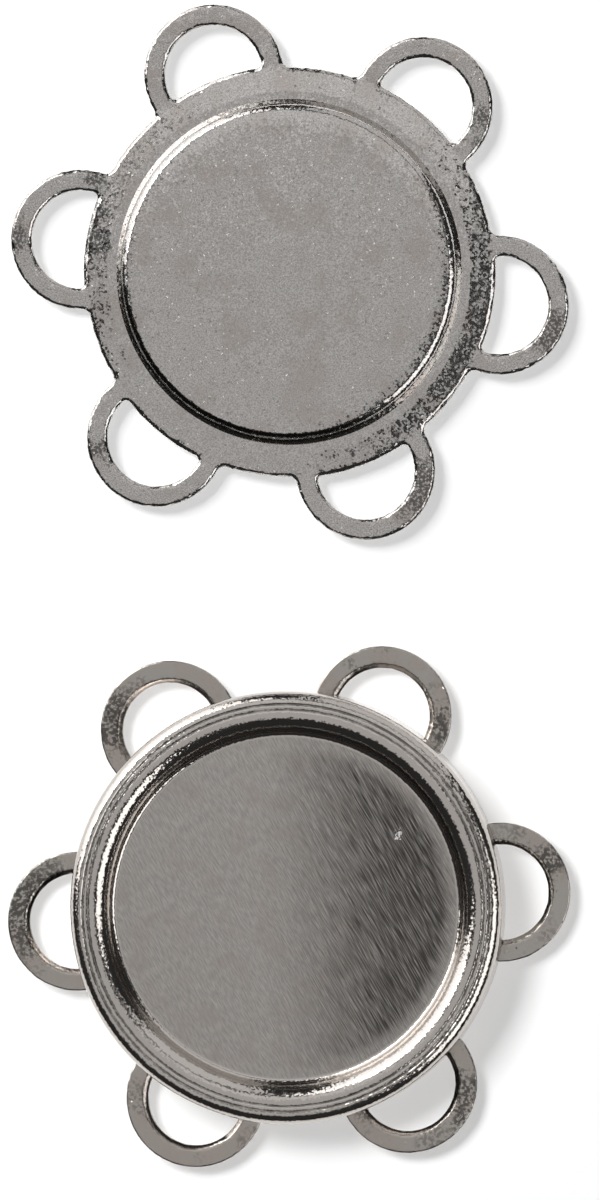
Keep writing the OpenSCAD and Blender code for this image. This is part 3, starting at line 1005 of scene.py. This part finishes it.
class SNAP_OT_socket_cap(bpy.types.Operator):
    """Draws the cap and folds its hem under the loop plate, with notches for the loops' legs"""

    bl_idname = "snap.socket_cap"
    bl_label = "Socket cap"
    flat_margin = 0.3

    def execute(self, context):
        cap, loops = in_mm(context.scene.snap_cap), in_mm(context.scene.snap_loops)
        centre, _ = halves()
        top_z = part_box("socket_cap")[1].z / MM
        notch_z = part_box("socket_loop_plate")[1].z / MM + cap.leg_gap
        sector = self.sector(cap, loops, top_z, notch_z)
        finish = cap_finish(context.scene.snap_finish, centre, cap)
        piece = round_piece("drawn_cap", sector, finish, centre, loops.socket_turn, loops.count)
        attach(piece, "root")
        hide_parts("socket_cap")
        bpy.data.collections["socket_half"].objects.link(piece)
        return {"FINISHED"}

    @staticmethod
    def section(cap, top_z, notch_z):
        """Outer and inner side of the cap's sheet, split where the notches end."""
        crown_r = cap.floor_r + cap.recess_h * math.tan(cap.recess_lean)
        shoulder_r = crown_r + cap.crown_w
        cap_r = shoulder_r + cap.flare_w
        floor_z = top_z - cap.recess_h
        corners = [point(0, floor_z), point(cap.floor_r, floor_z), point(crown_r, top_z),
                   point(shoulder_r, top_z), point(cap_r, 0), point(cap_r - cap.hem_w, 0)]
        radii = [cap.floor_bend_r, cap.crown_bend_r, cap.shoulder_r, cap.sheet_t + cap.hem_bend_r]
        outer, inner = sheet_sides(corners, radii, cap.sheet_t)
        grooves = []
        for line_r in rolled_lines(cap):
            for side, depth in ((-1, 0), (-0.5, 0.6), (0, 1), (0.5, 0.6), (1, 0)):
                grooves.append(point(line_r + side * cap.line_pitch / 3, top_z - depth * cap.line_depth))
        crown_end = 1 + 2 * (BEND_STEPS + 1)
        outer[crown_end:crown_end] = grooves

        def split(side):
            """The part of a side above the notches, and the part below with the point at their top."""
            skirt = next(i for i in range(len(side) - 1) if side[i][1] > notch_z >= side[i + 1][1])
            p, q = side[skirt], side[skirt + 1]
            edge = p + (q - p) * (p[1] - notch_z) / (p[1] - q[1])
            return spaced(side[:skirt + 1], SKIRT_STEP), [edge, *side[skirt + 1:]]

        return split(outer), split(inner)

    def domed(self, cap, r, z):
        """A point of the section, raised where it is on the domed recess floor."""
        if r > cap.floor_r - self.flat_margin:
            return r, z
        return r, z + cap.dome_h * (1 - (r / cap.floor_r) ** 2)

    def sector(self, cap, loops, top_z, notch_z):
        """One loop's share of the cap."""
        half_sector = math.pi / loops.count
        loop_r = loops.outer_d / 2
        leg_in = loop_r - loops.socket_band - cap.leg_gap
        leg_out = loop_r + cap.leg_gap
        (outer_top, outer_low), (inner_top, inner_low) = self.section(cap, top_z, notch_z)
        notch_r = outer_low[0][0]

        def angles(r):
            r = min(max(r, inner_low[-1][0]), notch_r) if r in low_radii else notch_r
            keys = [math.acos((r * r + loops.centre_r**2 - reach**2) / (2 * r * loops.centre_r))
                    for reach in (leg_in, leg_out)]
            half = np.concatenate([np.linspace(0, keys[0], HALF_HOLE_COLUMNS + 1),
                                   np.linspace(keys[0], keys[1], LEG_COLUMNS + 1)[1:],
                                   np.linspace(keys[1], half_sector, REST_COLUMNS + 1)[1:]])
            return np.concatenate([-half[:0:-1], half])

        low_radii = {p[0] for p in outer_low + inner_low}
        mesh = SheetMesh()
        middle = HALF_HOLE_COLUMNS + LEG_COLUMNS + REST_COLUMNS
        leg_columns = {middle + side * (HALF_HOLE_COLUMNS + i) - (side < 0)
                       for i in range(LEG_COLUMNS) for side in (-1, 1)}

        def outside_legs(column):
            return column not in leg_columns

        top_rows = mesh.revolve([self.domed(cap, *p) for p in outer_top], angles)
        low_rows = mesh.revolve(outer_low, angles)
        back_low = mesh.revolve(inner_low, angles)
        back_top = mesh.revolve(inner_top, angles)
        for row, following in pairwise(top_rows + low_rows[:1]):
            mesh.join(row, following)
        for row, following in pairwise(back_top + back_low[:1]):
            mesh.join(following, row)
        for row, following in pairwise(low_rows):
            mesh.join(row, following, keep=outside_legs)
        for row, following in pairwise(back_low):
            mesh.join(following, row, keep=outside_legs)
        mesh.join(low_rows[-1], back_low[-1], keep=outside_legs)
        mesh.join(low_rows[0], back_low[0], keep=lambda column: column in leg_columns)
        for side in (-1, 1):
            for edge in (HALF_HOLE_COLUMNS, HALF_HOLE_COLUMNS + LEG_COLUMNS):
                column = middle + side * edge
                front = [row[column] for row in low_rows]
                back = [row[column] for row in back_low]
                mesh.join(front, back)
        return mesh


class SNAP_OT_magnet(bpy.types.Operator):
    """Gives the magnet inside the socket half its finish"""

    bl_idname = "snap.magnet"
    bl_label = "Magnet finish"

    def execute(self, context):
        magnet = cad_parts["socket_magnet"]
        finish = magnet_finish(context.scene.snap_finish, flat_centre("socket_magnet"))
        for slot in magnet.material_slots:
            slot.material = finish
        return {"FINISHED"}


def lamp(name, azimuth, zenith, tall, wide, radiance, distance, *, sheen, shadow_of=None):
    """A soft box aimed at the pair.

    One with sheen is mirrored in the metal. One without it lights matt surfaces and may shadow one half.
    """
    data = bpy.data.lights.new(name, "AREA")
    data.shape = "RECTANGLE"
    data.size = 2 * distance * math.tan(math.radians(tall) / 2)
    data.size_y = 2 * distance * math.tan(math.radians(wide) / 2)
    data.energy = radiance * math.pi * data.size * data.size_y
    soft_box = bpy.data.objects.new(name, data)
    bpy.context.collection.objects.link(soft_box)
    a, z = math.radians(azimuth), math.radians(zenith)
    way = Vector((math.sin(z) * math.cos(a), math.sin(z) * math.sin(a), math.cos(z)))
    soft_box.location = distance * way
    soft_box.rotation_euler = (0, z, a)
    soft_box.visible_glossy = sheen
    soft_box.visible_diffuse = not sheen
    if shadow_of:
        soft_box.light_linking.blocker_collection = bpy.data.collections.new(shadow_of)


class SNAP_OT_studio(bpy.types.Operator):
    """Sets the camera, the soft boxes, the white table and the dim room"""

    bl_idname = "snap.studio"
    bl_label = "Studio"

    def execute(self, context):
        studio = context.scene.snap_studio
        self.camera(context.scene, studio)
        for name, values in SHEEN_LAMPS.items():
            lamp(name, *values, sheen=True)
        for name, values in TABLE_LAMPS.items():
            lamp(name, *values, sheen=False, shadow_of=SHADOWS_OF.get(name))
        self.table(context.scene, studio)
        self.room(context.scene, studio)
        context.scene.view_settings.view_transform = "Standard"
        return {"FINISHED"}

    @staticmethod
    def camera(scene, studio):
        data = bpy.data.cameras.new("camera")
        data.sensor_fit = "VERTICAL"
        data.sensor_height = SENSOR
        data.sensor_width = SENSOR
        data.lens = SENSOR * studio.camera_distance / studio.view_height
        data.clip_start = 0.01
        data.clip_end = 20
        camera = bpy.data.objects.new("camera", data)
        scene.collection.objects.link(camera)
        target = Vector((studio.view_x, studio.view_y, 0))
        tilt = studio.camera_tilt
        camera.location = target + studio.camera_distance * Vector((math.sin(tilt), 0, math.cos(tilt)))
        camera.rotation_euler = (0, tilt, 0)
        scene.camera = camera

    @staticmethod
    def table(scene, studio):
        """White table, matt, with a little white of its own where the camera or a reflection sees it."""
        mesh = bpy.data.meshes.new("table")
        disc = bmesh.new()
        bmesh.ops.create_circle(disc, cap_ends=True, radius=TABLE_RADIUS, segments=TABLE_SIDES)
        disc.to_mesh(mesh)
        disc.free()
        table = bpy.data.objects.new("table", mesh)
        scene.collection.objects.link(table)
        material = bpy.data.materials.new("matt_white_table")
        material.use_nodes = True
        tree = material.node_tree
        tree.nodes.clear()
        add = partial(add_node, tree)
        path = add("ShaderNodeLightPath").outputs
        seen = path["Is Camera Ray"]
        for kind in ("Is Glossy Ray", "Is Transmission Ray"):
            seen = add("ShaderNodeMath", seen, path[kind], operation="MAXIMUM").outputs[0]
        strength = add("ShaderNodeMath", seen, studio.glow, operation="MULTIPLY").outputs[0]
        matt = add("ShaderNodeBsdfDiffuse", Color=(*scene.snap_finish.floor_white, 1))
        glow = add("ShaderNodeEmission", Strength=strength)
        total = add("ShaderNodeAddShader", matt.outputs[0], glow.outputs[0])
        add("ShaderNodeOutputMaterial", Surface=total.outputs[0])
        mesh.materials.append(material)

    @staticmethod
    def room(scene, studio):
        """Dim room around the table."""
        world = bpy.data.worlds.new("room")
        world.use_nodes = True
        background = world.node_tree.nodes["Background"]
        background.inputs["Color"].default_value = (1, 1, 1, 1)
        background.inputs["Strength"].default_value = studio.room
        scene.world = world


class SNAP_PT_sidebar(bpy.types.Panel):
    """Lists the pieces and the studio in the sidebar"""

    bl_label = "Magnetic snap"
    bl_idname = "SNAP_PT_sidebar"
    bl_space_type = "VIEW_3D"
    bl_region_type = "UI"
    bl_category = "Snap"

    def draw(self, context):
        for operator in OPERATORS:
            self.layout.operator(operator.bl_idname)


GROUPS = {
    "snap_loops": SNAP_PG_loops,
    "snap_stud": SNAP_PG_stud,
    "snap_cap": SNAP_PG_cap,
    "snap_finish": SNAP_PG_finish,
    "snap_studio": SNAP_PG_studio,
}
OPERATORS = (SNAP_OT_studio, SNAP_OT_stud_plate, SNAP_OT_keeper, SNAP_OT_loop_plate, SNAP_OT_socket_cap,
             SNAP_OT_magnet)


def register():
    for cls in (*GROUPS.values(), *OPERATORS, SNAP_PT_sidebar):
        bpy.utils.register_class(cls)
    for name, group in GROUPS.items():
        setattr(bpy.types.Scene, name, PointerProperty(type=group))


def unregister():
    for name in GROUPS:
        delattr(bpy.types.Scene, name)
    for cls in reversed((*GROUPS.values(), *OPERATORS, SNAP_PT_sidebar)):
        bpy.utils.unregister_class(cls)


def main():
    register()
    for operator in OPERATORS:
        category, name = operator.bl_idname.split(".")
        getattr(getattr(bpy.ops, category), name)()


if __name__ == "__main__":
    main()
